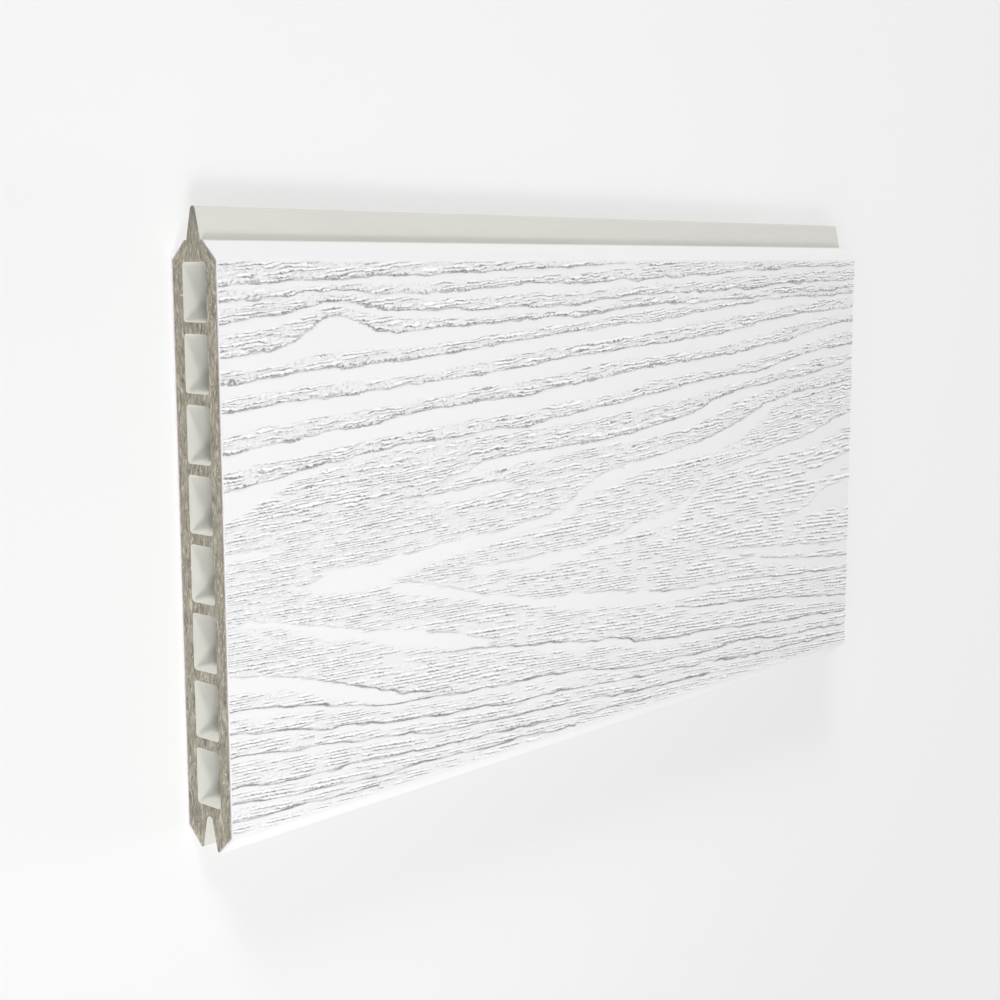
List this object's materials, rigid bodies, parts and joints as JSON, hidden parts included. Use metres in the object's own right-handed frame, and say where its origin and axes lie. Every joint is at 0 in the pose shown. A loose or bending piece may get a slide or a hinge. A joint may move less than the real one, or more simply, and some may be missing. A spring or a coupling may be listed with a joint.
{
  "type": "composite tongue-and-groove board",
  "caption": "Hollow wood-plastic board with a white wood-grain face, sloped edges, and a pointed tongue and matching groove along its long edges, for joining edge to edge.",
  "frame": {"origin": "under the middle of the overall box, on the plain back face that the board lies on", "axes": "+X along the length, +Y across the width towards the tongue, +Z through the thickness up to the embossed face"},
  "size_m": [0.316, 0.1728, 0.02],
  "materials": {
    "capped_composite": "matt white cap embossed with wood grain, over a brown-grey wood-plastic core that shows at the sawn ends"
  },
  "bodies": {
    "root": {"board": "capped_composite"}
  },
  "joints": []
}
